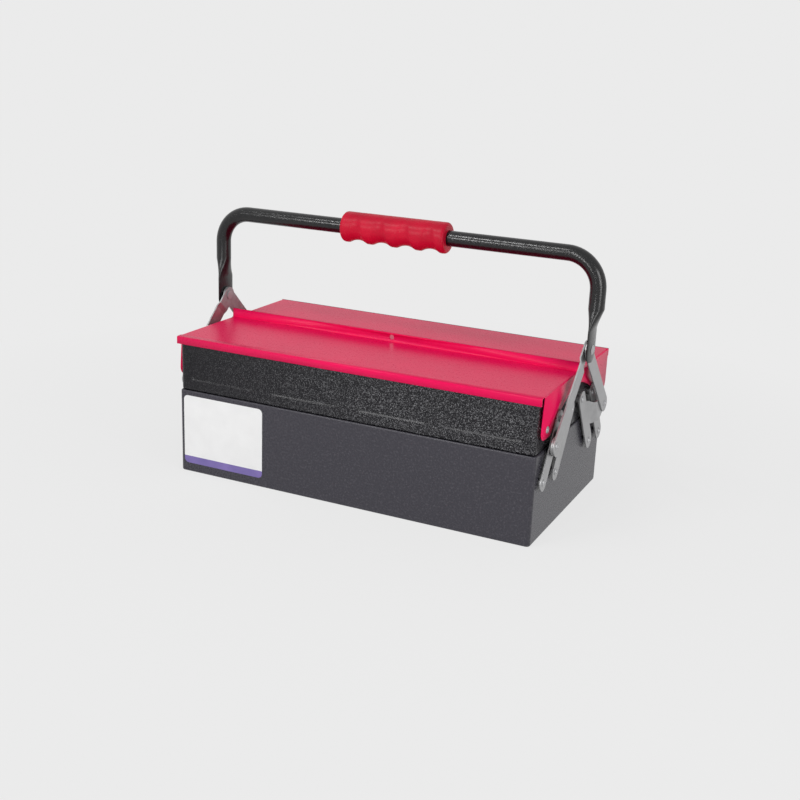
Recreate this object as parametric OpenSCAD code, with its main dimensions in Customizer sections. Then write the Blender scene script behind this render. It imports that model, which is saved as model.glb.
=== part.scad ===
// Cantilever tool box: a base, two trays on parallel links, two lids and one lifting handle.
// Millimetres, +Z up, the length along X, the front towards -Y, origin under the middle of the base.

/* [Base] */
// Length of the base along X
body_w = 400; // [320:1:520]
// Depth of the base along Y
body_d = 213; // [205:1:260]
// Height of the base
body_h = 91.3; // [80:0.1:140]
// Thickness of the sheet steel
sheet_t = 0.8; // [0.6:0.1:1.2]
// Outside radius of the upright corners
corner_r = 4; // [2:0.5:8]
// Depth of the folded hem inside the rims
hem_h = 7; // [4:0.5:12]

/* [Trays] */
// Height of a tray's back wall
tray_h = 56.5; // [50:0.5:70]
// Step of the tray walls inside the base walls
tray_inset = 1; // [0.6:0.1:2]
// Width of a pressed panel
panel_w = 80; // [50:1:90]
// Height of a pressed panel
panel_h = 31; // [20:1:40]
// Depth of a pressed panel
panel_sink = 1.2; // [0.6:0.1:2]
// Corner radius of a pressed panel
panel_r = 5; // [2:0.5:10]

/* [Lids] */
// Drop of the lid's front lip
lip_h = 8; // [5:0.5:14]
// Rise of the flange along the lid's inner edge
upstand_h = 9.6; // [7:0.2:14]
// Radius of the padlock hole
lock_r = 2.75; // [2:0.25:4]
// Place of the padlock hole along X
lock_x = -3.5; // [-20:0.5:20]
// Inset of the lid's pivot from the base's face
lid_pivot_in = 20.5; // [18:0.5:24]
// Drop of the lid's pivot under the lid's top
lid_pivot_drop = 35.9; // [32:0.1:38]

/* [Links] */
// Rise from a link's lower pivot to its upper one
link_rise = 54.1; // [50:0.1:60]
// Reach of a link towards the middle when closed
link_reach = 36.3; // [30:0.1:38]
// Width of the outer links
link_w = 17; // [15:0.5:18]
// Width of the cranks' straps
crank_w = 17.5; // [16:0.5:19]
// Thickness of links and cranks
link_t = 1.5; // [1.2:0.1:2]
// Depth of the lower pivots under the base's rim
pivot_drop = 29.8; // [26:0.2:34]
// Inset of the outer lower pivots from the base's face
pivot_in = 16.9; // [14:0.1:18]
// Spacing of the inner and outer pivots
pivot_pitch = 35.3; // [33:0.1:37]
// Place of the crank's lobe along its strap
lobe_u = 15.2; // [12:0.2:18]
// Place of the crank's lobe out from its strap
lobe_p = 39.9; // [37:0.1:42]
// Radius of the crank's lobe
lobe_r = 8.8; // [8.4:0.1:9.6]

/* [Arms] */
// Width of the lifting arms
arm_w = 17.5; // [15:0.5:20]
// Thickness of the lifting arms
arm_t = 1.5; // [1.2:0.1:2]
// Height of the handle's pins over the lids' top
pin_rise = 24; // [20:0.5:40]

/* [Handle] */
// Diameter of the handle's tube
tube_d = 16; // [14:0.5:18]
// Wall of the handle's tube
tube_wall = 1.2; // [1:0.1:2]
// Height of the tube's middle over the lids' top
handle_rise = 116.6; // [100:0.5:150]
// Radius of the tube's bends at its middle line
bend_r = 33; // [25:1:40]
// Width of the tube's flattened ends
flat_w = 27; // [21:0.5:28]
// Thickness of the tube's flattened ends
flat_t = 3.5; // [3:0.1:5]

/* [Grip] */
// Length of the grip
grip_len = 118; // [112:1:140]
// Radius of the grip
grip_r = 15.9; // [14.5:0.1:18]
// Shift of the grip from the middle
grip_x = -3; // [-10:0.5:10]
// Depth of the finger grooves
groove_sink = 3.3; // [2:0.1:4]
// Spacing of the finger grooves
groove_pitch = 27.6; // [24:0.2:28]

/* [Rivets] */
// Radius of the rivets' shanks
rivet_r = 2; // [1.8:0.1:2.4]
// Radius of the rivets' heads
head_r = 3.6; // [3.2:0.1:4.2]
// Height of the rivets' heads
head_h = 0.9; // [0.7:0.1:1.2]
// Radius of the spacers under the straps
spacer_r = 4; // [3.6:0.1:4.2]
// Running clearance around a rivet's shank
run_fit = 0.06; // [0.02:0.01:0.1]
// Play beside a turning strap
play = 0.1; // [0.05:0.05:0.15]
// Gap between parts that pass each other
gap = 0.3; // [0.3:0.05:0.6]

/* [Hidden] */
$fn = 48;
eps = 0.01;
half_w = body_w / 2;
half_d = body_d / 2;
cut = 1; // how far a tool runs past what it cuts

// heights
tray_z = body_h + gap;
tray_top = tray_z + tray_h;
lid_top = tray_top + gap + sheet_t;
lid_pivot_z = lid_top - lid_pivot_drop;
pivot_z = body_h - pivot_drop;
upper_z = pivot_z + link_rise;
pin_z = lid_top + pin_rise;
handle_z = lid_top + handle_rise;

// distances from the middle towards the front
out_low = half_d - pivot_in;
in_low = out_low - pivot_pitch;
out_up = out_low - link_reach;
in_up = in_low - link_reach;
lid_pivot_y = half_d - lid_pivot_in;
tray_front = half_d - 1.3;
tray_back = 1.1;
lid_front = half_d + 0.5;
lid_back = 0.25;

// the highest rim that the opening lid still swings over
pan_top = lid_pivot_z + sqrt(pow(lid_pivot_drop - sheet_t - gap, 2)
    - pow(tray_front - lid_pivot_y, 2));
pan_h = pan_top - tray_z;
panel_mid = tray_z + tray_h / 2 - 1.7;
panel_x = (body_w - 6) / 8;

// layers outwards from the end wall, each clear of the last
tube_shift = 2;
tray_face = half_w - tray_inset;
flange_x = half_w + 1.6;
flange_out = flange_x + sheet_t;
link_x = flange_out + gap;
link_out = link_x + link_t;
arm_in = link_out + play + head_h + link_t + 3 * gap;
arm_out = arm_in + arm_t + gap;
web_out = arm_out - gap;
web_x = web_out - link_t;
flat_x = arm_out + arm_t + gap;
flat_out = flat_x + flat_t;
tube_x = flat_x + flat_t / 2 + tube_shift;

// links, the crank's web measured along its strap and out from it, and arms
link_len = norm([link_reach, link_rise]);
link_tilt = atan2(link_rise, link_reach);
hole_r = rivet_r + run_fit;
fold_p = crank_w / 2 + 1.5;
fold_w = 10;
fold_lap = 0.35;
web_far = lobe_p + lobe_r;
web_line = [[56, 5], [48.7, 12.6], [40, 18.8], [35, 25], [lobe_u + lobe_r, lobe_p + 1],
    [lobe_u - lobe_r + 1, lobe_p - 4], [7.5, 28], [9, 21], [14, 11.5], [18.4, 6.6], [20, 5]];
inner_r = spacer_r + 0.8;
step_from = 16;
step_len = 5;
lobe_y = in_low - lobe_u * cos(link_tilt) + lobe_p * sin(link_tilt);
lobe_z = pivot_z + lobe_u * sin(link_tilt) + lobe_p * cos(link_tilt);
arm_len = norm([lobe_y, pin_z - lobe_z]);
arm_tilt = atan2(pin_z - lobe_z, lobe_y);

// lid flange: its tip, and its back edge measured inwards and up from the lid's pivot
tip_r = 11;
tip_low = lid_pivot_z - 8.6;
back_edge = [[12, -8.6], [16, -6], [26, 1.5], [37, 8.5], [47, 13.5], [66, 20.3]];
back_rise = 23.5;
front_edge = [half_d - 8, half_d - 4];
rear_edge = [half_d - 1, half_d - 3];
bend_out = 1.6;

// handle
pin_r = 3;
pin_head_r = 4.8;
pin_head_h = 1.4 * head_h;
flat_low = pin_z - 12.6;
flat_round = 10;
flat_top = pin_z + 20;
flat_end = pin_z + 41;
flat_lap = 1;
bore_w = flat_w - 8;
bore_t = 1;
bore_low = flat_top + 4;
tube_r = tube_d / 2;
bore_r = tube_r - tube_wall;
bend_x = tube_x - bend_r;
bend_z = handle_z - bend_r;

// grip
groove_lift = 3;
groove_round = 20;
end_round = 3;

module left() { mirror([1, 0, 0]) children(); }
module rear() { mirror([0, 1, 0]) children(); }
module both_ends() { children(); left() children(); }

// a round bar along X from one layer to another, at a distance towards the front
module bar(from, to, r, out, z) {
    translate([from, -out, z]) rotate([0, 90, 0]) cylinder(h = to - from, r = r);
}

// a domed rivet head whose flat face lies at a layer and looks back
module head(at, r, h, out, z) {
    ball = (r * r + h * h) / (2 * h);
    translate([at, -out, z]) rotate([0, 90, 0]) intersection() {
        cylinder(h = h, r = r);
        translate([0, 0, h - ball]) sphere(r = ball, $fn = 64);
    }
}

// a sheet profile drawn as [y, z], pulled along X
module along_x(from, to) {
    translate([from, 0, 0]) rotate([90, 0, 90]) linear_extrude(to - from) children();
}

// an upright block with rounded corners
module block(w, d, h, r) {
    union() {
        translate([-w / 2 + r, -d / 2, 0]) cube([w - 2 * r, d, h]);
        translate([-w / 2, -d / 2 + r, 0]) cube([w, d - 2 * r, h]);
        for (x = [-1, 1], y = [-1, 1])
            translate([x * (w / 2 - r), y * (d / 2 - r), 0]) cylinder(h = h, r = r);
    }
}

// an open box of sheet with a hem folded in along its rim
module pan(w, d, h) {
    difference() {
        block(w, d, h, corner_r);
        translate([0, 0, sheet_t])
            block(w - 2 * sheet_t, d - 2 * sheet_t, h - hem_h, corner_r - sheet_t);
        translate([0, 0, h - hem_h])
            block(w - 4 * sheet_t, d - 4 * sheet_t, hem_h + cut, corner_r - 1.5 * sheet_t);
    }
}

module base_box() {
    color([0.27, 0.26, 0.29]) difference() {
        pan(body_w, body_d, body_h);
        for (y = [out_low, in_low, -out_low, -in_low])
            bar(-half_w - cut, half_w + cut, hole_r, y, pivot_z);
    }
}

// a spacer, a shank through wall and strap, and a head on each end
module pivot(face, seat, seat_out, out, z) {
    bar(face, seat - play, spacer_r, out, z);
    bar(face - sheet_t - eps, seat_out + play + eps, rivet_r, out, z);
    head(seat_out + play, head_r, head_h, out, z);
    bar(face - sheet_t - head_h, face - sheet_t, inner_r, out, z);
}

module base_pivots() {
    color([0.72, 0.72, 0.73]) for (y = [out_low, in_low, -out_low, -in_low])
        pivot(half_w, link_x, link_out, y, pivot_z);
}
module base_pivots_right() { base_pivots(); }
module base_pivots_left() { left() base_pivots(); }

// places a part on a lower pivot, with Y along the strap and Z out from it
module on_strap(out) {
    translate([0, -out, pivot_z]) rotate([link_tilt, 0, 0]) children();
}

// a flat strap with round ends, from its first hole to its second
module strap(at, t, w, len, hole) {
    difference() {
        union() {
            for (y = [0, len]) translate([at, y, 0]) rotate([0, 90, 0]) cylinder(h = t, r = w / 2);
            translate([at, 0, -w / 2]) cube([t, len, w]);
        }
        for (y = [0, len])
            translate([at - cut, y, 0]) rotate([0, 90, 0]) cylinder(h = t + 2 * cut, r = hole);
    }
}

module link() {
    color([0.6, 0.6, 0.62]) on_strap(out_low) strap(link_x, link_t, link_w, link_len, hole_r);
}
module front_link_right() { link(); }
module front_link_left() { left() link(); }
module rear_link_right() { rear() link(); }
module rear_link_left() { rear() left() link(); }

// one stamping: a strap, a sloping fold and a raised web that ends in a round lobe
module crank() {
    color([0.6, 0.6, 0.62]) on_strap(in_low) union() {
        strap(link_x, link_t, crank_w, link_len, hole_r);
        intersection() {
            translate([0, -lobe_r, 0]) rotate([-90, 0, 0]) linear_extrude(link_len + lobe_r)
                polygon([[link_x, -crank_w / 2 + 1], [link_out, -crank_w / 2 + 1],
                    [link_out, -fold_p], [web_out, -fold_p - fold_w], [web_out, -web_far],
                    [web_x, -web_far], [web_x, -fold_p - fold_w - fold_lap],
                    [link_x, -fold_p - fold_lap]]);
            along_x(link_x - cut, web_out + cut) polygon(web_line);
        }
        translate([web_x, lobe_u, lobe_p]) rotate([0, 90, 0]) cylinder(h = link_t, r = lobe_r);
    }
}
module front_crank_right() { crank(); }
module front_crank_left() { left() crank(); }
module rear_crank_right() { rear() crank(); }
module rear_crank_left() { rear() left() crank(); }

// a rounded panel pressed into the front face, as deep as it is thick plus the sheet
module panel(x, grow, from, deep) {
    w = panel_w / 2 + grow;
    h = panel_h / 2 + grow;
    r = panel_r + grow;
    translate([x, from + deep, panel_mid]) rotate([90, 0, 0]) union() {
        translate([-w + r, -h, 0]) cube([2 * (w - r), 2 * h, deep]);
        translate([-w, -h + r, 0]) cube([2 * w, 2 * (h - r), deep]);
        for (u = [-1, 1], v = [-1, 1])
            translate([u * (w - r), v * (h - r), 0]) cylinder(h = deep, r = r);
    }
}

module tray() {
    depth = tray_front - tray_back;
    color([0.1, 0.1, 0.11]) difference() {
        union() {
            translate([0, -(tray_front + tray_back) / 2, tray_z]) pan(2 * tray_face, depth, pan_h);
            translate([-tray_face + corner_r, -tray_back - sheet_t, pan_top - hem_h])
                cube([2 * (tray_face - corner_r), sheet_t, tray_top - pan_top + hem_h]);
            for (i = [-3, -1, 1, 3])
                panel(i * panel_x, sheet_t, -tray_front + sheet_t - eps, panel_sink);
        }
        for (i = [-3, -1, 1, 3]) panel(i * panel_x, 0, -tray_front - cut, panel_sink + cut);
        for (y = [out_up, in_up]) bar(-half_w - cut, half_w + cut, hole_r, y, upper_z);
        bar(-half_w - cut, half_w + cut, hole_r, lid_pivot_y, lid_pivot_z);
    }
}
module front_tray() { tray(); }
module rear_tray() { rear() tray(); }

module tray_pivots() {
    color([0.72, 0.72, 0.73]) for (y = [out_up, in_up])
        pivot(tray_face, link_x, link_out, y, upper_z);
}
module front_tray_pivots_right() { tray_pivots(); }
module front_tray_pivots_left() { left() tray_pivots(); }
module rear_tray_pivots_right() { rear() tray_pivots(); }
module rear_tray_pivots_left() { rear() left() tray_pivots(); }

module lid_pivots() {
    color([0.72, 0.72, 0.73]) both_ends()
        pivot(tray_face, flange_x, flange_out, lid_pivot_y, lid_pivot_z);
}
module front_lid_pivots() { lid_pivots(); }
module rear_lid_pivots() { rear() lid_pivots(); }

// a quarter of a bend, open towards its centre
module bend(y, z, ky, kz) {
    translate([y, z]) intersection() {
        difference() {
            circle(r = bend_out);
            circle(r = bend_out - sheet_t);
        }
        translate([ky < 0 ? -bend_out : 0, kz < 0 ? -bend_out : 0]) square(bend_out);
    }
}

// one sheet: top, front lip, flange along the middle and a flange at each end, whose outer edge
// is given at its top and at its tip
module lid(edge) {
    top_in = lid_top - sheet_t;
    tip_y = -edge[1] + tip_r;
    color([0.75, 0.04, 0.16]) difference() {
        union() {
            along_x(-flange_out + bend_out, flange_out - bend_out) {
                translate([-lid_front + bend_out, top_in])
                    square([lid_front - lid_back - 2 * bend_out, sheet_t]);
                translate([-lid_front, lid_top - lip_h]) square([sheet_t, lip_h - bend_out]);
                bend(-lid_front + bend_out, lid_top - bend_out, -1, 1);
                translate([-lid_back - sheet_t, top_in + bend_out])
                    square([sheet_t, upstand_h + sheet_t - bend_out]);
                bend(-lid_back - bend_out, top_in + bend_out, 1, -1);
            }
            both_ends() {
                along_x(flange_x, flange_out) difference() {
                    union() {
                        polygon([[-1, lid_top - bend_out], [-edge[0], lid_top - bend_out],
                            [-edge[1], tip_low + tip_r], [tip_y, tip_low],
                            for (p = back_edge) [p[0] - lid_pivot_y, p[1] + lid_pivot_z],
                            [-1, lid_pivot_z + back_rise]]);
                        translate([tip_y, tip_low + tip_r]) circle(r = tip_r);
                    }
                    translate([-out_up, upper_z]) circle(r = spacer_r + 2 * gap);
                }
                translate([0, -1, 0]) rotate([90, 0, 0])
                    linear_extrude(edge[0] - 1) translate([flange_out - bend_out, 0])
                        bend(0, lid_top - bend_out, 1, 1);
                translate([flange_out - bend_out - eps, -edge[0], top_in])
                    cube([2 * eps, edge[0] - 1, sheet_t]);
            }
        }
        translate([lock_x, 0, lid_top + upstand_h / 2]) rotate([90, 0, 0])
            cylinder(h = 4 * bend_out, r = lock_r);
        both_ends() bar(half_w, flange_out + cut, hole_r, lid_pivot_y, lid_pivot_z);
    }
}
module front_lid() { lid(front_edge); }
module rear_lid() { rear() lid(rear_edge); }

// places a part on the lobe's pivot, with Y along the arm
module on_arm() {
    translate([0, -lobe_y, lobe_z]) rotate([arm_tilt, 0, 0]) children();
}

// a flat length of arm between two distances from its lower pivot
module arm_length(at, from, to) {
    translate([at, from, -arm_w / 2]) cube([arm_t, to - from, arm_w]);
}
module arm_end(at, y) {
    translate([at, y, 0]) rotate([0, 90, 0]) cylinder(h = arm_t, r = arm_w / 2);
}
module arm_holes() {
    deep = arm_out + arm_t - arm_in + 2 * cut;
    translate([arm_in - cut, 0, 0]) rotate([0, 90, 0]) cylinder(h = deep, r = hole_r);
    translate([arm_in - cut, arm_len, 0]) rotate([0, 90, 0])
        cylinder(h = deep, r = pin_r + run_fit);
}

// the rear arm is flat
module rear_arm() {
    color([0.6, 0.6, 0.62]) rear() on_arm() difference() {
        union() {
            arm_end(arm_out, 0);
            arm_end(arm_out, arm_len);
            arm_length(arm_out, 0, arm_len);
        }
        arm_holes();
    }
}

// the front arm steps in under the rear arm's end
module front_arm() {
    step_to = arm_len - step_from;
    step = arm_out - arm_in;
    color([0.6, 0.6, 0.62]) on_arm() difference() {
        union() {
            arm_end(arm_out, 0);
            arm_length(arm_out, 0, step_to - step_len + eps);
            translate([0, 0, -arm_w / 2]) linear_extrude(arm_w)
                polygon([[arm_out, step_to - step_len], [arm_out + arm_t, step_to - step_len],
                    [arm_in + arm_t, step_to], [arm_in, step_to]]);
            arm_length(arm_in, step_to - eps, arm_len);
            arm_end(arm_in, arm_len);
        }
        arm_holes();
    }
}
module front_arm_right() { front_arm(); }
module front_arm_left() { left() front_arm(); }
module rear_arm_right() { rear_arm(); }
module rear_arm_left() { left() rear_arm(); }

// rivets that end just over the crank's lobe
module arm_rivets() {
    color([0.72, 0.72, 0.73]) both_ends() {
        bar(arm_out - play, arm_out + arm_t + eps, rivet_r, lobe_y, lobe_z);
        head(arm_out + arm_t, head_r, head_h, lobe_y, lobe_z);
    }
}
module front_arm_rivets() { arm_rivets(); }
module rear_arm_rivets() { rear() arm_rivets(); }

module handle_pin() {
    color([0.72, 0.72, 0.73]) union() {
        bar(arm_in - play - head_h, arm_in - play, pin_head_r, 0, pin_z);
        bar(arm_in - play - eps, flat_out + play + eps, pin_r, 0, pin_z);
        head(flat_out + play, pin_head_r, pin_head_h, 0, pin_z);
    }
}
module handle_pin_right() { handle_pin(); }
module handle_pin_left() { left() handle_pin(); }

// the upright tube, its bend and half of the crossbar, round all the way
module tube_run(r) {
    translate([tube_x, 0, flat_end]) cylinder(h = bend_z - flat_end, r = r);
    translate([bend_x, 0, bend_z]) rotate([90, 0, 0]) rotate_extrude(angle = 90)
        translate([bend_r, 0]) circle(r = r);
    translate([0, 0, handle_z]) rotate([0, 90, 0]) cylinder(h = bend_x, r = r);
}

// the tube pressed from round to flat
module squeeze(r, w, t, low) {
    hull() {
        translate([tube_x, 0, flat_end]) cylinder(h = eps, r = r, $fn = 32);
        translate([flat_x + flat_t / 2 - t / 2, -w / 2, low - flat_lap]) cube([t, w, flat_lap]);
    }
}

// the flat end with its two rounded lower corners
module flat_end_plate() {
    side = flat_w / 2 - flat_round;
    translate([flat_x, -flat_w / 2, flat_low + flat_round])
        cube([flat_t, flat_w, flat_top - flat_low - flat_round - flat_lap / 2]);
    translate([flat_x, -side, flat_low]) cube([flat_t, 2 * side, flat_round + eps]);
    for (y = [-side, side]) bar(flat_x, flat_out, flat_round, y, flat_low + flat_round);
}

module handle_tube() {
    color([0.12, 0.11, 0.12]) difference() {
        both_ends() {
            tube_run(tube_r);
            squeeze(tube_r, flat_w, flat_t, flat_top);
            flat_end_plate();
        }
        both_ends() {
            tube_run(bore_r);
            squeeze(bore_r, bore_w, bore_t, bore_low);
            bar(flat_x - cut, flat_out + cut, pin_r + run_fit, 0, pin_z);
        }
    }
}

module handle_grip() {
    color([0.8, 0.03, 0.1]) translate([grip_x, 0, handle_z]) rotate([0, 90, 0]) difference() {
        rotate_extrude() translate([0, -grip_len / 2]) union() {
            square([grip_r - end_round, grip_len]);
            translate([0, end_round]) square([grip_r, grip_len - 2 * end_round]);
            for (y = [end_round, grip_len - end_round])
                translate([grip_r - end_round, y]) circle(r = end_round);
        }
        translate([0, 0, -grip_len]) cylinder(h = 2 * grip_len, r = tube_r + run_fit);
        for (i = [-1.5, -0.5, 0.5, 1.5]) translate([-groove_lift, 0, i * groove_pitch])
            rotate_extrude() translate([grip_r - groove_sink + groove_lift + groove_round, 0])
                circle(r = groove_round);
    }
}

base_box();
base_pivots_left();
base_pivots_right();
front_crank_left();
front_crank_right();
rear_crank_left();
rear_crank_right();
front_link_left();
front_link_right();
rear_link_left();
rear_link_right();
front_tray();
rear_tray();
front_tray_pivots_left();
front_tray_pivots_right();
rear_tray_pivots_left();
rear_tray_pivots_right();
front_lid_pivots();
rear_lid_pivots();
front_lid();
rear_lid();
front_arm_left();
front_arm_right();
rear_arm_left();
rear_arm_right();
front_arm_rivets();
rear_arm_rivets();
handle_pin_left();
handle_pin_right();
handle_tube();
handle_grip();
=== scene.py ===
import math

import bmesh
import bpy
from mathutils import Matrix, Vector


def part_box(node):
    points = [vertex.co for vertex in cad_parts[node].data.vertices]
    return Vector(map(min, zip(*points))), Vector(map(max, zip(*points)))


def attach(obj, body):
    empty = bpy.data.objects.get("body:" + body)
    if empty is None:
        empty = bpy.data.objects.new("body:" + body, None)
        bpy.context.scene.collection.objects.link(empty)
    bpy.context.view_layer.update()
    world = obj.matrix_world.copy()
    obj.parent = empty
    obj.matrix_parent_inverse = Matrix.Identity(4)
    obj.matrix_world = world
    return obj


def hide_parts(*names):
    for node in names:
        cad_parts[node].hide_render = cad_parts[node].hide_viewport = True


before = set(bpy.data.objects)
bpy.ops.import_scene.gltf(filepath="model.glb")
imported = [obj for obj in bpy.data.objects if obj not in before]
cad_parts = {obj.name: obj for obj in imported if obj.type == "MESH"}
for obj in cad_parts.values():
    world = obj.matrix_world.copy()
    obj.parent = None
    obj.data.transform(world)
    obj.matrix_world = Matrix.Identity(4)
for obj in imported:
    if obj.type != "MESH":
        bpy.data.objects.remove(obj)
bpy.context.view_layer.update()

MM = 0.001
WELD = 1e-6  # points nearer than this are one

# ---------------------------------------------------------------- sizes, in metres

# boxes of the solids, from model.glb

BASE_LOW, BASE_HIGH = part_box("base_box")
TRAY_LOW, TRAY_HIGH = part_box("front_tray")
LID_LOW, LID_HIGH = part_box("front_lid")
TUBE_LOW, TUBE_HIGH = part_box("handle_tube")
GRIP_LOW, GRIP_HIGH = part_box("handle_grip")
PIN_LOW, PIN_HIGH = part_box("handle_pin_right")

PAN_TOP = max(v.co.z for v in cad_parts["front_tray"].data.vertices
              if v.co.y < TRAY_LOW.y + MM / 10)

SHEET = 0.8 * MM
SHELL_WALL = SHEET * 0.9  # a little thinner, so that pans stay inside their solids
CORNER = 4 * MM
FOOT_ROUND = 1.6 * MM
HEM = 7 * MM
RIM_ROUND = 1.6 * MM
RIM_TURNS = 6

PANEL_W = 80 * MM
PANEL_H = 31 * MM
PANEL_R = 5 * MM
PANEL_SINK = 1.2 * MM
PANEL_DROP = 1.7 * MM
PANEL_SLOPE = 1.8 * MM
PANEL_STEPS = 6
PANEL_MARGIN = 6 * MM
PANEL_PLACES = (-3, -1, 1, 3)  # in eighths of the front, from its middle

LIP = 8 * MM
UPSTAND = 9.6 * MM
FOLD = 1.6 * MM
LOCK_R = 2.75 * MM
LOCK_X = -3.5 * MM
FRONT_EDGE = (8 * MM, 4 * MM)
REAR_EDGE = (1.4 * MM, 1.4 * MM)
TIP_R = 10.5 * MM
TOE_R = 3 * MM
STEP_R = 6 * MM
LID_PIVOT_IN = 20.5 * MM
LID_PIVOT_DROP = 35.9 * MM
# the lower edge of a lid's end flange, as millimetres inwards of its pivot and above it
FLANGE_STEPS = ((66, 20.3), (47, 13.5), (37, 8.5), (30, 7), (26, 1.5))
FLANGE_RISE = 23.5 * MM
FLANGE_TOE = 13 * MM

TUBE_R = 8 * MM
BEND_R = 33 * MM
FLAT_W = 27 * MM
FLAT_T = 3.5 * MM
FLAT_ROUND = 10 * MM
FLAT_X = 211.2 * MM
FLAT_EDGE = 0.45 * FLAT_T
FLAT_STEPS = 6

PRESS_FROM = 41 * MM
PRESS_TO = 20 * MM
PRESS_RINGS = 7
PRESS_SHARE = 0.94  # how flat the last ring above the flat end is

GROOVE_SINK = 3.3 * MM
GROOVE_LIFT = 1.7 * MM
GROOVE_ROUND = 20 * MM
GROOVE_PITCH = 27.6 * MM
GROOVE_PLACES = (-1.5, -0.5, 0.5, 1.5)  # in pitches, from the grip's middle
GROOVE_SOFT = 0.15 * MM
GRIP_ROUND = 3.2 * MM
GRIP_STEPS = 96
GRIP_FIT = 0.1 * MM

LABEL_X = (-195 * MM, -97.5 * MM)
LABEL_Z = (10 * MM, 86 * MM)
LABEL_OUT, LABEL_IN = 0.12 * MM, 0.02 * MM  # in front of the base and sunk into it
LABEL_R = 5 * MM
LABEL_BAND_TOP = 18 * MM

STRAP_EDGE = 0.25 * MM
BACK_EDGE = 0.2 * MM

# the pivots, as distances from the middle and heights, and the layers outside the end walls
LOW_Z = 61.5 * MM
HIGH_Z = 115.6 * MM
LINK_LOW, CRANK_LOW = 89.6 * MM, 54.3 * MM
LINK_HIGH, CRANK_HIGH = 53.3 * MM, 18 * MM
LOBE = (78.96 * MM, 96.35 * MM)
LINK_X, LINK_OUT = 202.7 * MM, 204.2 * MM
FLANGE_X, FLANGE_OUT = 201.6 * MM, 202.4 * MM
ARM_X, ARM_OUT = 209.4 * MM, 210.9 * MM
PLAY = 0.1 * MM
SHANK_R = 2 * MM
SPACER_R = 4 * MM
HEAD_R = 3.6 * MM
HEAD_H = 0.9 * MM
HEAD_FLAT, HEAD_BULGE = 0.72, 0.28
# a head's face inside its bulge, as shares of its height and radius: a ring groove and a boss
HEAD_FACE = ((0.98, 0.74), (0.1, 0.64), (0.1, 0.5), (0.7, 0.42), (0.85, 0.2), (0.9, 0))


# ---------------------------------------------------------------- small tools for meshes

def boundary(bm):
    return [e for e in bm.edges if len(e.link_faces) == 1]


def kinds(geom, kind):
    return [g for g in geom if isinstance(g, kind)]


def bevel(bm, geom, offset, segments, affect="EDGES"):
    return bmesh.ops.bevel(bm, geom=geom, offset=offset, segments=segments, affect=affect,
                           profile=0.5, material=-1, clamp_overlap=True)


def block(bm, low, high):
    """A closed box between two corners."""
    made = bmesh.ops.create_cube(bm, size=1)["verts"]
    bmesh.ops.scale(bm, vec=high - low, verts=made)
    bmesh.ops.translate(bm, vec=(low + high) / 2, verts=made)
    return made


def wire(bm, points):
    """Edges through a few points."""
    verts = [bm.verts.new(p) for p in points]
    return [bm.edges.new(pair) for pair in zip(verts, verts[1:])]


def pull(bm, edges, move):
    """Extrudes edges and moves what they made; gives the new edges."""
    made = bmesh.ops.extrude_edge_only(bm, edges=edges)["geom"]
    verts = kinds(made, bmesh.types.BMVert)
    bmesh.ops.translate(bm, vec=move, verts=verts)
    fresh = set(verts)
    return [e for e in kinds(made, bmesh.types.BMEdge) if set(e.verts) <= fresh]


def step_loop(bm, edges, core, radius, inset, axes, along, value):
    """Extrudes a rounded loop towards its core rectangle, and sets its third coordinate."""
    fresh = pull(bm, edges, (0, 0, 0))
    a, b = axes
    for vert in {v for e in fresh for v in e.verts}:
        near = Vector((min(max(vert.co[a], core[0][0]), core[1][0]),
                       min(max(vert.co[b], core[0][1]), core[1][1])))
        out = Vector((vert.co[a], vert.co[b])) - near
        if out.length > 1e-9:
            out = out.normalized() * (radius - inset)
        vert.co[a], vert.co[b] = near + out
        vert.co[along] = value
    return fresh


def beside_flat(edge):
    """True where a narrow strip of a bend meets a large flat face, which stays flat when shaded."""
    if len(edge.link_faces) != 2 or edge.calc_face_angle(0) < math.radians(2):
        return False
    small, large = sorted(face.calc_area() for face in edge.link_faces)
    return large > 4 * small and large > 100 * MM ** 2


def finish_mesh(name, bm, material, body, replaced=(), wall=None, soften=None, sharp=35,
                recalc=True):
    """Turns a bmesh into a piece that rides on its body."""
    bmesh.ops.remove_doubles(bm, verts=bm.verts, dist=WELD)
    if recalc:
        bmesh.ops.recalc_face_normals(bm, faces=bm.faces)
    beside_flats = [beside_flat(edge) for edge in bm.edges]
    mesh = bpy.data.meshes.new(name)
    bm.to_mesh(mesh)
    bm.free()
    mesh.shade_smooth()
    mesh.set_sharp_from_angle(angle=math.radians(sharp))
    for edge, crisp in zip(mesh.edges, beside_flats):
        edge.use_edge_sharp = edge.use_edge_sharp or crisp
    mesh.materials.append(material)
    piece = bpy.data.objects.new(name, mesh)
    bpy.context.scene.collection.objects.link(piece)
    if wall:
        solid = piece.modifiers.new("wall", "SOLIDIFY")
        solid.thickness = wall
        solid.offset = -1
        solid.use_even_offset = True
        solid.use_quality_normals = True
    if soften:
        edge = piece.modifiers.new("edge", "BEVEL")
        edge.width = soften
        edge.segments = 2
        edge.limit_method = "ANGLE"
        edge.angle_limit = math.radians(50)
        edge.harden_normals = True
    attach(piece, body)
    if replaced:
        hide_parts(*replaced)
    return piece


# ---------------------------------------------------------------- materials

def new_material(name):
    material = bpy.data.materials.new(name)
    material.use_nodes = True
    nodes = material.node_tree.nodes
    return material, nodes, material.node_tree.links, nodes["Principled BSDF"]


def object_place(nodes, links, scale=(1, 1, 1)):
    """Object coordinates through a Mapping node."""
    coords = nodes.new("ShaderNodeTexCoord")
    mapping = nodes.new("ShaderNodeMapping")
    mapping.inputs["Scale"].default_value = scale
    links.new(coords.outputs["Object"], mapping.inputs["Vector"])
    return mapping.outputs["Vector"]


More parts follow.
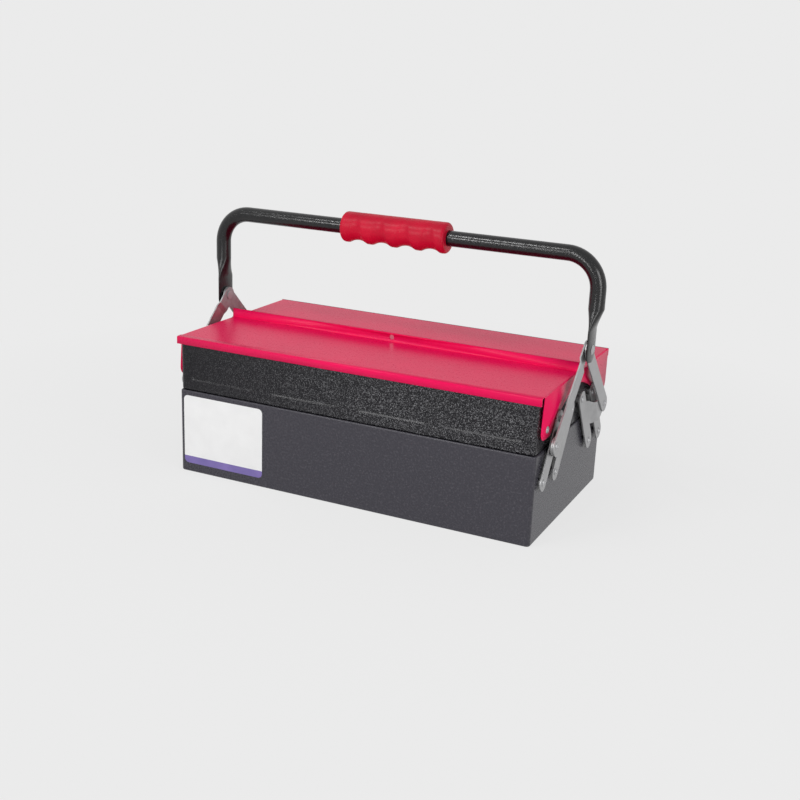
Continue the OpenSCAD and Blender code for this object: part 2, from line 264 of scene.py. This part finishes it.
def noise(nodes, links, place, scale, detail=2, rough=0.5):
    node = nodes.new("ShaderNodeTexNoise")
    node.inputs["Scale"].default_value = scale
    node.inputs["Detail"].default_value = detail
    node.inputs["Roughness"].default_value = rough
    links.new(place, node.inputs["Vector"])
    return node.outputs["Fac"]


def ramp(nodes, links, value, stops):
    node = nodes.new("ShaderNodeValToRGB")
    bar = node.color_ramp
    while len(bar.elements) < len(stops):
        bar.elements.new(0.5)
    for element, (position, color) in zip(bar.elements, stops):
        element.position = position
        element.color = (*color, 1)
    links.new(value, node.inputs["Fac"])
    return node.outputs["Color"]


def between(nodes, links, value, low, high, start=0.3, end=0.7):
    node = nodes.new("ShaderNodeMapRange")
    node.inputs["From Min"].default_value = start
    node.inputs["From Max"].default_value = end
    node.inputs["To Min"].default_value = low
    node.inputs["To Max"].default_value = high
    links.new(value, node.inputs["Value"])
    return node.outputs["Result"]


def bump(nodes, links, shader, height, depth, after=None):
    node = nodes.new("ShaderNodeBump")
    node.inputs["Strength"].default_value = 1
    node.inputs["Distance"].default_value = depth
    links.new(height, node.inputs["Height"])
    if after is not None:
        links.new(after.outputs["Normal"], node.inputs["Normal"])
    links.new(node.outputs["Normal"], shader.inputs["Normal"])
    return node


def shade(color, factor):
    return tuple(min(1, c * factor) for c in color)


def enamel(name, color, spread, rough, grain, depth, broad_depth, specular):
    """Paint on sheet metal: colour that varies a little, a fine grain and a slow waviness."""
    material, nodes, links, shader = new_material(name)
    place = object_place(nodes, links)
    slow = noise(nodes, links, place, 14, 3)
    fine = noise(nodes, links, place, grain, 3, 0.6)
    links.new(ramp(nodes, links, slow, [(0.3, shade(color, 1 - spread)),
                                        (0.7, shade(color, 1 + spread))]),
              shader.inputs["Base Color"])
    links.new(between(nodes, links, fine, rough - 0.06, rough + 0.08), shader.inputs["Roughness"])
    first = bump(nodes, links, shader, fine, depth)
    bump(nodes, links, shader, slow, broad_depth, first)
    shader.inputs["Specular IOR Level"].default_value = specular
    return material


def hammered(name, color, speck_glint_color, rough, size, depth, specular, glint_fade_span=None):
    """Hammered enamel: dark, with small raised flecks whose paler colour is partly their own grain
    and partly painted glints; given a span along X, the flecks and their painted glints fade
    towards its low end, as painted shade.
    """
    material, nodes, links, shader = new_material(name)
    place = object_place(nodes, links)
    fine = noise(nodes, links, place, size, 3, 0.6)
    amount = between(nodes, links, fine, 0, 1, 0.52, 0.68)
    # Fewer and duller flecks towards low X: painted shade, standing in for less light on that end.
    if glint_fade_span:
        coords = nodes.new("ShaderNodeTexCoord")
        split = nodes.new("ShaderNodeSeparateXYZ")
        links.new(coords.outputs["Object"], split.inputs["Vector"])
        fade = nodes.new("ShaderNodeMath")
        fade.operation = "MULTIPLY"
        links.new(amount, fade.inputs[0])
        links.new(between(nodes, links, split.outputs["X"], 0.15, 1, *glint_fade_span), fade.inputs[1])
        amount = fade.outputs[0]
    links.new(ramp(nodes, links, amount, [(0, color), (1, speck_glint_color)]), shader.inputs["Base Color"])
    links.new(between(nodes, links, fine, rough - 0.06, rough + 0.1), shader.inputs["Roughness"])
    bump(nodes, links, shader, amount, depth)
    shader.inputs["Specular IOR Level"].default_value = specular
    return material


def plated(name, color, rough, depth):
    """Zinc plate on rolled steel: satin, with a faint brushed grain and cloudy patches."""
    material, nodes, links, shader = new_material(name)
    place = object_place(nodes, links)
    brushed = noise(nodes, links, object_place(nodes, links, (60, 900, 900)), 1, 2, 0.5)
    cloud = noise(nodes, links, place, 120, 4, 0.6)
    links.new(ramp(nodes, links, cloud, [(0.3, shade(color, 0.85)), (0.7, shade(color, 1.12))]),
              shader.inputs["Base Color"])
    links.new(between(nodes, links, cloud, rough - 0.05, rough + 0.1), shader.inputs["Roughness"])
    shader.inputs["Metallic"].default_value = 0.75
    bump(nodes, links, shader, brushed, depth)
    return material


def moulded(name, color, rough):
    """Glossy moulded plastic with a faint orange peel."""
    material, nodes, links, shader = new_material(name)
    place = object_place(nodes, links)
    slow = noise(nodes, links, place, 45, 2)
    fine = noise(nodes, links, place, 700, 2)
    links.new(ramp(nodes, links, slow, [(0.3, shade(color, 0.88)), (0.7, shade(color, 1.1))]),
              shader.inputs["Base Color"])
    links.new(between(nodes, links, fine, rough - 0.05, rough + 0.08), shader.inputs["Roughness"])
    bump(nodes, links, shader, fine, 0.02 * MM)
    shader.inputs["Specular IOR Level"].default_value = 0.15
    return material


def label_paper(name, band_top):
    """A plain printed label: white film with a violet band along its foot."""
    material, nodes, links, shader = new_material(name)
    coords = nodes.new("ShaderNodeTexCoord")
    split = nodes.new("ShaderNodeSeparateXYZ")
    links.new(coords.outputs["Object"], split.inputs["Vector"])
    place = object_place(nodes, links)
    film = noise(nodes, links, place, 60, 2)
    white = ramp(nodes, links, film, [(0.3, (0.71, 0.71, 0.71)), (0.7, (0.74, 0.74, 0.74))])
    violet = ramp(nodes, links, film, [(0.3, (0.13, 0.095, 0.3)), (0.7, (0.17, 0.12, 0.36))])
    edge = between(nodes, links, split.outputs["Z"], 0, 1, band_top - 0.05 * MM,
                   band_top + 0.05 * MM)
    mix = nodes.new("ShaderNodeMix")
    mix.data_type = "RGBA"
    links.new(edge, mix.inputs["Factor"])
    links.new(violet, mix.inputs["A"])
    links.new(white, mix.inputs["B"])
    links.new(mix.outputs["Result"], shader.inputs["Base Color"])
    shader.inputs["Roughness"].default_value = 0.35
    shader.inputs["Coat Weight"].default_value = 0.3
    bump(nodes, links, shader, film, 0.03 * MM)
    return material


BASE_PAINT = hammered("base_grey_enamel", (0.037, 0.035, 0.0445), (0.062, 0.058, 0.07), 0.28, 480,
                      0.06 * MM, 0.3)
# Tray paint: its pale flecks are partly painted glints, and they fade towards the left end as
# painted shade.
TRAY_PAINT = hammered("tray_black_hammered", (0.003, 0.0025, 0.0045), (0.2, 0.2, 0.21), 0.25,
                      1100, 0.06 * MM, 0.28, (-0.19, 0.04))
LID_PAINT = enamel("lid_red_enamel", (0.74, 0.004, 0.085), 0.04, 0.3, 700, 0.006 * MM,
                   0.05 * MM, 0.13)
TUBE_PAINT = hammered("tube_black_hammered", (0.002, 0.002, 0.0025), (0.012, 0.012, 0.013), 0.18,
                      800, 0.04 * MM, 0.46)
STRAP_ZINC = plated("strap_satin_zinc", (0.36, 0.36, 0.365), 0.38, 0.01 * MM)
RIVET_STEEL = plated("rivet_bright_steel", (0.42, 0.42, 0.43), 0.3, 0.01 * MM)
GRIP_RED = moulded("grip_red_plastic", (0.47, 0.004, 0.026), 0.36)


# ---------------------------------------------------------------- base and trays

def rim_core(low, high):
    """The rectangle that a pan's rounded corners turn about."""
    return ((low.x + CORNER, low.y + CORNER), (high.x - CORNER, high.y - CORNER))


def pan_walls(bm, low, high):
    """Four walls and a floor with rounded upright corners and foot, open at the top."""
    block(bm, low, high)
    top = [f for f in bm.faces if f.normal.z > 0.9]
    bmesh.ops.delete(bm, geom=top, context="FACES_ONLY")
    upright = [e for e in bm.edges if abs(e.verts[0].co.z - e.verts[1].co.z) > HEM]
    bevel(bm, upright, CORNER, 6)
    foot = [e for e in bm.edges if all(v.co.z < low.z + MM / 10 for v in e.verts)
            and len(e.link_faces) == 2]
    bevel(bm, foot, FOOT_ROUND, 3)


def hem_rim(bm, low, high):
    """Rolls the rim inwards in a quarter round as deep as two sheets, and folds it down."""
    core = rim_core(low, high)
    edges = [e for e in boundary(bm) if all(v.co.z > high.z - MM for v in e.verts)]
    for vert in {v for e in edges for v in e.verts}:
        vert.co.z = high.z - RIM_ROUND
    for i in range(1, RIM_TURNS + 1):
        angle = math.pi / 2 * i / RIM_TURNS
        edges = step_loop(bm, edges, core, CORNER, RIM_ROUND * (1 - math.cos(angle)), (0, 1), 2,
                          high.z - RIM_ROUND * (1 - math.sin(angle)))
    step_loop(bm, edges, core, CORNER, RIM_ROUND, (0, 1), 2, high.z - HEM)


def press_panels(bm, low, middle):
    """Presses four rounded panels into the front wall."""
    front = max((f for f in bm.faces if f.normal.y < -0.99), key=lambda f: f.calc_area())
    outline = list(front.edges)
    bmesh.ops.delete(bm, geom=[front], context="FACES_ONLY")
    pitch = (BASE_HIGH.x - BASE_LOW.x - PANEL_MARGIN) / 8
    rings = []
    for i in PANEL_PLACES:
        turn = (Matrix.Translation((i * pitch, low.y, middle))
                @ Matrix.Rotation(math.pi / 2, 4, "X"))
        made = bmesh.ops.create_grid(bm, x_segments=1, y_segments=1, size=0.5,
                                     matrix=turn)["verts"]
        for vert in made:
            vert.co.x = i * pitch + math.copysign(PANEL_W / 2, vert.co.x - i * pitch)
            vert.co.z = middle + math.copysign(PANEL_H / 2, vert.co.z - middle)
        bevel(bm, made, PANEL_R, 6, "VERTICES")
        face = next(f for f in bm.faces
                    if (f.calc_center_median() - Vector((i * pitch, low.y, middle))).length < MM)
        rings.append((i * pitch, list(face.edges)))
        bmesh.ops.delete(bm, geom=[face], context="FACES_ONLY")
    bmesh.ops.triangle_fill(bm, use_beauty=True, use_dissolve=False,
                            edges=outline + [e for _, ring in rings for e in ring])
    for x, edges in rings:
        core = ((x - PANEL_W / 2 + PANEL_R, middle - PANEL_H / 2 + PANEL_R),
                (x + PANEL_W / 2 - PANEL_R, middle + PANEL_H / 2 - PANEL_R))
        for i in range(1, PANEL_STEPS + 1):
            share = i / PANEL_STEPS
            edges = step_loop(bm, edges, core, PANEL_R, share * PANEL_SLOPE, (0, 2), 1,
                              low.y + PANEL_SINK * (1 - math.cos(math.pi * share)) / 2)
        bmesh.ops.contextual_create(bm, geom=edges)


def base_shell():
    bm = bmesh.new()
    pan_walls(bm, BASE_LOW, BASE_HIGH)
    hem_rim(bm, BASE_LOW, BASE_HIGH)
    finish_mesh("base_shell", bm, BASE_PAINT, "base", ["base_box"],
                wall=SHELL_WALL)


def tray_shell(side, name, body, node):
    """A pan with pressed panels, and a piece with the taller part of its back wall."""
    top = Vector((TRAY_HIGH.x, TRAY_HIGH.y, PAN_TOP))
    bm = bmesh.new()
    pan_walls(bm, TRAY_LOW, top)
    press_panels(bm, TRAY_LOW, (TRAY_LOW.z + TRAY_HIGH.z) / 2 - PANEL_DROP)
    hem_rim(bm, TRAY_LOW, top)
    back = bmesh.new()
    block(back, Vector((TRAY_LOW.x + CORNER, TRAY_HIGH.y - SHELL_WALL, PAN_TOP - HEM / 2)),
          Vector((TRAY_HIGH.x - CORNER, TRAY_HIGH.y - SHEET * 0.1, TRAY_HIGH.z)))
    if side > 0:
        for mesh in (bm, back):
            bmesh.ops.scale(mesh, vec=(1, -1, 1), verts=mesh.verts)
    finish_mesh(name, bm, TRAY_PAINT, body, [node], wall=SHELL_WALL)
    finish_mesh(name + "_back", back, TRAY_PAINT, body, soften=BACK_EDGE)


# ---------------------------------------------------------------- lids

def lid_sheet(side, name, body, node, edge):
    """One folded sheet: lip, top, flange along the middle, and a shaped flange at each end."""
    bm = bmesh.new()
    end = LID_HIGH.x
    top = LID_HIGH.z - UPSTAND
    front, back = LID_LOW.y, LID_HIGH.y
    pivot = (BASE_LOW.y + LID_PIVOT_IN, top - LID_PIVOT_DROP)
    low = LID_LOW.z
    flange_front = BASE_LOW.y + edge[0]
    flange_back = back - SHEET
    outline = wire(bm, [(-end, front, top - LIP), (-end, front, top), (-end, back, top),
                        (-end, back, LID_HIGH.z)])
    pull(bm, outline, (2 * end, 0, 0))
    for y in (flange_front, flange_back - 2 * FOLD):
        bmesh.ops.bisect_plane(bm, geom=bm.verts[:] + bm.edges[:] + bm.faces[:], dist=1e-7,
                               plane_co=(0, y, 0), plane_no=(0, 1, 0))
    upstand = next(f for f in bm.faces if abs(f.calc_center_median().y - back) < WELD)
    rim = list(upstand.edges)
    bmesh.ops.delete(bm, geom=[upstand], context="FACES_ONLY")
    turn = Matrix.Translation((LOCK_X, back, top + UPSTAND / 2)) @ Matrix.Rotation(
        math.pi / 2, 4, "X")
    hole = bmesh.ops.create_circle(bm, segments=24, radius=LOCK_R, matrix=turn)["verts"]
    hole_edges = list({e for v in hole for e in v.link_edges})
    bmesh.ops.triangle_fill(bm, use_beauty=True, use_dissolve=False, edges=rim + hole_edges)

    for x in (-end, end):
        shared = next(e for e in bm.edges
                      if all(abs(v.co.x - x) < WELD and abs(v.co.z - top) < WELD
                             for v in e.verts)
                      and abs(e.calc_length() - (flange_back - 2 * FOLD - flange_front)) < MM / 10)
        near, far = sorted(shared.verts, key=lambda v: v.co.y)
        places = [(far.co.y, pivot[1] + FLANGE_RISE)]
        places += [(pivot[0] + y * MM, pivot[1] + z * MM) for y, z in FLANGE_STEPS]
        places += [(pivot[0] + FLANGE_TOE, low), (BASE_LOW.y + edge[1], low)]
        verts = [bm.verts.new((x, y, z)) for y, z in places]
        bm.faces.new([near, far, *verts])
        bevel(bm, [verts[-1]], TIP_R, 8, "VERTICES")
        bevel(bm, [verts[-2]], TOE_R, 4, "VERTICES")
        bevel(bm, verts[1:3], STEP_R, 3, "VERTICES")
    bmesh.ops.recalc_face_normals(bm, faces=bm.faces)
    folds = [e for e in bm.edges
             if len(e.link_faces) == 2 and e.calc_face_angle(0) > math.radians(60)
             and e.calc_length() > 20 * MM]
    bevel(bm, folds, FOLD, 5)
    if side > 0:
        bmesh.ops.scale(bm, vec=(1, -1, 1), verts=bm.verts)
    finish_mesh(name, bm, LID_PAINT, body, [node], wall=SHEET, sharp=45)


# ---------------------------------------------------------------- straps and rivets

def softened_strap(node, name, body):
    """A strap as it comes from the solids, with its cut edges rounded."""
    bm = bmesh.new()
    bm.from_mesh(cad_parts[node].data)
    bmesh.ops.remove_doubles(bm, verts=bm.verts, dist=WELD)
    bmesh.ops.dissolve_limit(bm, angle_limit=math.radians(1), verts=bm.verts, edges=bm.edges)
    finish_mesh(name, bm, STRAP_ZINC, body, [node], soften=STRAP_EDGE, sharp=40,
                recalc=False)


def strap_pieces():
    for side in ("front", "rear"):
        for end in ("left", "right"):
            for part, form in (("link", "strap"), ("crank", "stamping"), ("arm", "strap")):
                softened_strap(f"{side}_{part}_{end}", f"{side}_{part}_{form}_{end}",
                               f"{side}_{part}s")


def rivet(bm, end, place, face, seat, seat_out, inner=True):
    """A turned rivet along X: inner head, spacer, shank and an outer head with a round groove."""
    y, z = place
    out = seat_out + PLAY
    if inner:
        turned = [(face - SHEET - HEAD_H, 0), (face - SHEET - HEAD_H, SPACER_R),
                  (face - SHEET, SPACER_R + HEAD_H / 2), (face - SHEET, SHANK_R),
                  (face, SHANK_R), (face, SPACER_R), (seat - PLAY, SPACER_R)]
    else:
        turned = [(seat - PLAY, 0)]
    turned += [(seat - PLAY, SHANK_R), (out, SHANK_R), (out, HEAD_R)]
    turned += [(out + HEAD_H * math.sin(a), HEAD_R * (HEAD_FLAT + HEAD_BULGE * math.cos(a)))
               for a in (math.radians(20 * i) for i in range(1, 5))]
    turned += [(out + HEAD_H * high, HEAD_R * wide) for high, wide in HEAD_FACE]
    profile = wire(bm, [(end * x, y, z + r) for x, r in turned])
    bmesh.ops.spin(bm, geom=profile + list({v for e in profile for v in e.verts}),
                   cent=(0, y, z), axis=(1, 0, 0), angle=2 * math.pi, steps=28, use_merge=True)


def rivet_piece(node, body, ends, places, face, seat, seat_out, inner=True):
    bm = bmesh.new()
    for end in ends:
        for place in places:
            rivet(bm, end, place, face, seat, seat_out, inner)
    finish_mesh(node.replace("pivots", "rivets") + "_turned", bm, RIVET_STEEL, body,
                [node])


def rivet_pieces():
    ends = {"left": -1, "right": 1}
    for word, end in ends.items():
        rivet_piece(f"base_pivots_{word}", "base", [end],
                    [(side * y, LOW_Z) for side in (-1, 1) for y in (LINK_LOW, CRANK_LOW)],
                    BASE_HIGH.x, LINK_X, LINK_OUT)
    for name, side in (("front", -1), ("rear", 1)):
        for word, end in ends.items():
            rivet_piece(f"{name}_tray_pivots_{word}", f"{name}_tray", [end],
                        [(side * y, HIGH_Z) for y in (LINK_HIGH, CRANK_HIGH)],
                        TRAY_HIGH.x, LINK_X, LINK_OUT)
        lid_pivot = (side * (BASE_HIGH.y - LID_PIVOT_IN),
                     LID_HIGH.z - UPSTAND - LID_PIVOT_DROP)
        rivet_piece(f"{name}_lid_pivots", f"{name}_tray", (-1, 1), [lid_pivot],
                    TRAY_HIGH.x, FLANGE_X, FLANGE_OUT)
        rivet_piece(f"{name}_arm_rivets", f"{name}_arms", (-1, 1),
                    [(side * LOBE[0], LOBE[1])], ARM_X, ARM_X, ARM_OUT - PLAY, inner=False)


def finish_cad_nodes():
    """A material for the two pins, which stay as they are."""
    for word in ("left", "right"):
        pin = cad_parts[f"handle_pin_{word}"].data
        pin.materials.clear()
        pin.materials.append(RIVET_STEEL)


# ---------------------------------------------------------------- handle

def pressed_ring(bm, edges, turns, z, share, half_w):
    """Adds one ring of the leg: an ellipse pressed by a share, or at 1 a flat with round edges."""
    middle = TUBE_HIGH.x - TUBE_R + share * (FLAT_X + FLAT_T / 2 - TUBE_HIGH.x + TUBE_R)
    thick = TUBE_R + share * (FLAT_T / 2 - TUBE_R)
    fresh = pull(bm, edges, (0, 0, 0))
    placed = {}
    for vert in {v for e in fresh for v in e.verts}:
        turn = turns[tuple(round(c, 6) for c in vert.co)]
        c, s = round(math.cos(turn), 5), round(math.sin(turn), 5)
        across = c * thick
        if share == 1:
            across = ((c > 0) - (c < 0)) * (thick - FLAT_EDGE) + c * FLAT_EDGE
        vert.co = (middle + across, s * half_w, z)
        placed[tuple(round(c, 6) for c in vert.co)] = turn
    return fresh, placed


def handle_half(bm):
    """The crossbar's right half, its bend and the leg, pressed flat towards its pin."""
    tube_x = TUBE_HIGH.x - TUBE_R
    bar_z = TUBE_HIGH.z - TUBE_R
    pin_z = (PIN_LOW.z + PIN_HIGH.z) / 2
    turn = Matrix.Rotation(math.pi / 2, 4, "Y")
    ring = bmesh.ops.create_circle(bm, segments=40, radius=TUBE_R,
                                   matrix=Matrix.Translation((0, 0, bar_z)) @ turn)["verts"]
    edges = list({e for v in ring for e in v.link_edges})
    edges = pull(bm, edges, (tube_x - BEND_R, 0, 0))
    spun = bmesh.ops.spin(bm, geom=edges, cent=(tube_x - BEND_R, 0, bar_z - BEND_R),
                          axis=(0, 1, 0), angle=math.pi / 2, steps=16, use_merge=False)
    edges = kinds(spun["geom_last"], bmesh.types.BMEdge)
    turns = {tuple(round(c, 6) for c in v.co): math.atan2(v.co.y, v.co.x - tube_x)
             for e in edges for v in e.verts}
    for i in range(PRESS_RINGS + 1):
        share = i / PRESS_RINGS * (1 if i == PRESS_RINGS else PRESS_SHARE)
        drop = share * (PRESS_FROM - PRESS_TO)
        edges, turns = pressed_ring(bm, edges, turns, pin_z + PRESS_FROM - drop, share,
                                    TUBE_R + share * (FLAT_W / 2 - TUBE_R))
    side = FLAT_W / 2 - FLAT_ROUND
    for i in range(FLAT_STEPS + 1):
        angle = math.pi / 2 * i / FLAT_STEPS
        edges, turns = pressed_ring(bm, edges, turns, TUBE_LOW.z + FLAT_ROUND
                                    * (1 - math.sin(angle)), 1,
                                    side + FLAT_ROUND * math.cos(angle))
    bmesh.ops.contextual_create(bm, geom=edges)


def handle_tube():
    bm = bmesh.new()
    handle_half(bm)
    bmesh.ops.mirror(bm, geom=bm.verts[:] + bm.edges[:] + bm.faces[:], axis="X",
                     merge_dist=WELD)
    bmesh.ops.remove_doubles(bm, verts=bm.verts, dist=WELD)
    finish_mesh("handle_bent_tube", bm, TUBE_PAINT, "handle", ["handle_tube"],
                sharp=50)


def handle_grip():
    """A turned sleeve, with finger grooves pressed in that fade towards its top."""
    bm = bmesh.new()
    centre = (GRIP_LOW + GRIP_HIGH) / 2
    radius = (GRIP_HIGH.y - GRIP_LOW.y) / 2
    bore = TUBE_R + GRIP_FIT
    length = GRIP_HIGH.x - GRIP_LOW.x
    corner = GRIP_ROUND
    points = [(0, bore)]
    points += [(corner - corner * math.cos(math.pi / 2 * i / 5),
                radius - corner + corner * math.sin(math.pi / 2 * i / 5)) for i in range(6)]
    points += [(corner + (length - 2 * corner) * i / GRIP_STEPS, radius)
               for i in range(1, GRIP_STEPS)]
    points += [(length - x, r) for x, r in points[6::-1]]
    profile = wire(bm, [(GRIP_LOW.x + x, 0, centre.z + r) for x, r in points])
    geom = profile + list({v for e in profile for v in e.verts})
    bmesh.ops.spin(bm, geom=geom, cent=(0, 0, centre.z), axis=(1, 0, 0), angle=2 * math.pi,
                   steps=64, use_merge=True)
    bmesh.ops.remove_doubles(bm, verts=bm.verts, dist=WELD)
    for vert in bm.verts:
        across = Vector((vert.co.y, vert.co.z - centre.z - GROOVE_LIFT))
        if Vector((vert.co.y, vert.co.z - centre.z)).length < bore + MM:
            continue
        reach = across.length
        for i in GROOVE_PLACES:
            off = vert.co.x - centre.x - i * GROOVE_PITCH
            if abs(off) >= GROOVE_ROUND:
                continue
            floor = (radius - GROOVE_SINK + GROOVE_LIFT + GROOVE_ROUND
                     - math.sqrt(GROOVE_ROUND ** 2 - off ** 2))
            over = (reach - floor) / GROOVE_SOFT
            reach -= GROOVE_SOFT * math.log1p(math.exp(over)) if over < 30 else reach - floor
        across = across.normalized() * reach
        vert.co.y = across.x
        vert.co.z = across.y + centre.z + GROOVE_LIFT
    finish_mesh("grip_sleeve", bm, GRIP_RED, "handle", ["handle_grip"], sharp=60)


# ---------------------------------------------------------------- label

def label():
    """A blank label with a violet foot, stuck on the base's front."""
    bm = bmesh.new()
    low = Vector((LABEL_X[0], BASE_LOW.y - LABEL_OUT, LABEL_Z[0]))
    high = Vector((LABEL_X[1], BASE_LOW.y + LABEL_IN, LABEL_Z[1]))
    block(bm, low, high)
    across = [e for e in bm.edges if abs(e.verts[0].co.y - e.verts[1].co.y) > 0.05 * MM]
    bevel(bm, across, LABEL_R, 6)
    paper = label_paper("label_film", LABEL_BAND_TOP)
    finish_mesh("blank_label", bm, paper, "base")


# ---------------------------------------------------------------- studio

BACKDROP = 0.83
AIR = 0.47
FLOOR_KEPT = (0.88, 1, 0.25, 0.75)  # shares of the backdrop, and metres from the object
CAMERA_AT = (0.5203, -1.0912, 0.4665)
CAMERA_TURN = (25.108, 17.509, 2.315)  # around, above and roll, in degrees
CAMERA_LENS = 53.05


def camera():
    data = bpy.data.cameras.new("photo_view")
    data.sensor_width = 36
    data.lens = CAMERA_LENS
    cam = bpy.data.objects.new("photo_view", data)
    bpy.context.scene.collection.objects.link(cam)
    around, above, roll = (math.radians(a) for a in CAMERA_TURN)
    back = Vector((math.sin(around) * math.cos(above), -math.cos(around) * math.cos(above),
                   math.sin(above)))
    right = Vector((math.cos(around), math.sin(around), 0))
    up = back.cross(right)
    x_axis = math.cos(roll) * right + math.sin(roll) * up
    y_axis = -math.sin(roll) * right + math.cos(roll) * up
    turn = Matrix((x_axis, y_axis, back)).transposed()
    cam.matrix_world = Matrix.Translation(CAMERA_AT) @ turn.to_4x4()
    bpy.context.scene.camera = cam


def lamp(name, place, target, size, power):
    data = bpy.data.lights.new(name, "AREA")
    data.shape = "RECTANGLE"
    data.size, data.size_y = size
    data.energy = power
    item = bpy.data.objects.new(name, data)
    bpy.context.scene.collection.objects.link(item)
    item.location = place
    item.rotation_mode = "QUATERNION"
    item.rotation_quaternion = (Vector(target) - Vector(place)).to_track_quat("-Z", "Y")


def shown_share(nodes, links):
    """1 for the rays that show the backdrop itself: the camera's, and those off gloss or glass."""
    path = nodes.new("ShaderNodeLightPath")
    value = path.outputs["Is Camera Ray"]
    for kind in ("Is Glossy Ray", "Is Transmission Ray"):
        either = nodes.new("ShaderNodeMath")
        either.operation = "MAXIMUM"
        links.new(value, either.inputs[0])
        links.new(path.outputs[kind], either.inputs[1])
        value = either.outputs[0]
    return value


def floor_material():
    """A floor that matches the backdrop and keeps the object's shadow close to it."""
    material = bpy.data.materials.new("studio_floor")
    material.use_nodes = True
    nodes, links = material.node_tree.nodes, material.node_tree.links
    nodes.clear()
    output = nodes.new("ShaderNodeOutputMaterial")
    matt = nodes.new("ShaderNodeBsdfDiffuse")
    matt.inputs["Color"].default_value = (0.8, 0.8, 0.8, 1)
    glow = nodes.new("ShaderNodeEmission")
    glow.inputs["Color"].default_value = (BACKDROP, BACKDROP, BACKDROP, 1)
    coords = nodes.new("ShaderNodeTexCoord")
    away = nodes.new("ShaderNodeVectorMath")
    away.operation = "LENGTH"
    links.new(coords.outputs["Object"], away.inputs[0])
    kept = between(nodes, links, away.outputs["Value"], *FLOOR_KEPT)
    share = nodes.new("ShaderNodeMath")
    share.operation = "MULTIPLY"
    links.new(shown_share(nodes, links), share.inputs[0])
    links.new(kept, share.inputs[1])
    mix = nodes.new("ShaderNodeMixShader")
    links.new(share.outputs[0], mix.inputs["Fac"])
    links.new(matt.outputs["BSDF"], mix.inputs[1])
    links.new(glow.outputs["Emission"], mix.inputs[2])
    links.new(mix.outputs["Shader"], output.inputs["Surface"])
    return material


def studio():
    """A pale floor and backdrop that look the same to the camera, and four lamps."""
    bm = bmesh.new()
    bmesh.ops.create_circle(bm, cap_ends=True, segments=96, radius=14)
    mesh = bpy.data.meshes.new("studio_floor")
    bm.to_mesh(mesh)
    bm.free()
    floor = bpy.data.objects.new("studio_floor", mesh)
    bpy.context.scene.collection.objects.link(floor)
    mesh.materials.append(floor_material())

    world = bpy.data.worlds.new("studio_air")
    bpy.context.scene.world = world
    world.use_nodes = True
    nodes, links = world.node_tree.nodes, world.node_tree.links
    nodes.clear()
    output = nodes.new("ShaderNodeOutputWorld")
    air = nodes.new("ShaderNodeBackground")
    air.inputs["Color"].default_value = (AIR, AIR, AIR, 1)
    shown = nodes.new("ShaderNodeBackground")
    shown.inputs["Color"].default_value = (BACKDROP, BACKDROP, BACKDROP, 1)
    mix = nodes.new("ShaderNodeMixShader")
    links.new(shown_share(nodes, links), mix.inputs["Fac"])
    links.new(air.outputs["Background"], mix.inputs[1])
    links.new(shown.outputs["Background"], mix.inputs[2])
    links.new(mix.outputs["Shader"], output.inputs["Surface"])

    lamp("top_strip", (-0.5, -0.8, 1.4), (0, 0, 0.1), (0.7, 0.07), 6)
    lamp("right_softbox", (0.98, -0.5, 0.36), (0.1, 0, 0.15), (0.3, 0.7), 3.8)
    lamp("front_strip", (-0.1, -1.75, 0.6), (0, 0, 0.15), (0.1, 1.15), 6)
    lamp("left_strip", (-0.75, -1.6, 0.85), (0, 0, 0.15), (0.6, 0.16), 7)


camera()
base_shell()
tray_shell(-1, "front_tray_shell", "front_tray", "front_tray")
tray_shell(1, "rear_tray_shell", "rear_tray", "rear_tray")
lid_sheet(-1, "front_lid_sheet", "front_lid", "front_lid", FRONT_EDGE)
lid_sheet(1, "rear_lid_sheet", "rear_lid", "rear_lid", REAR_EDGE)
strap_pieces()
rivet_pieces()
handle_tube()
handle_grip()
label()
finish_cad_nodes()
studio()

scene = bpy.context.scene
scene.view_settings.view_transform = "Standard"
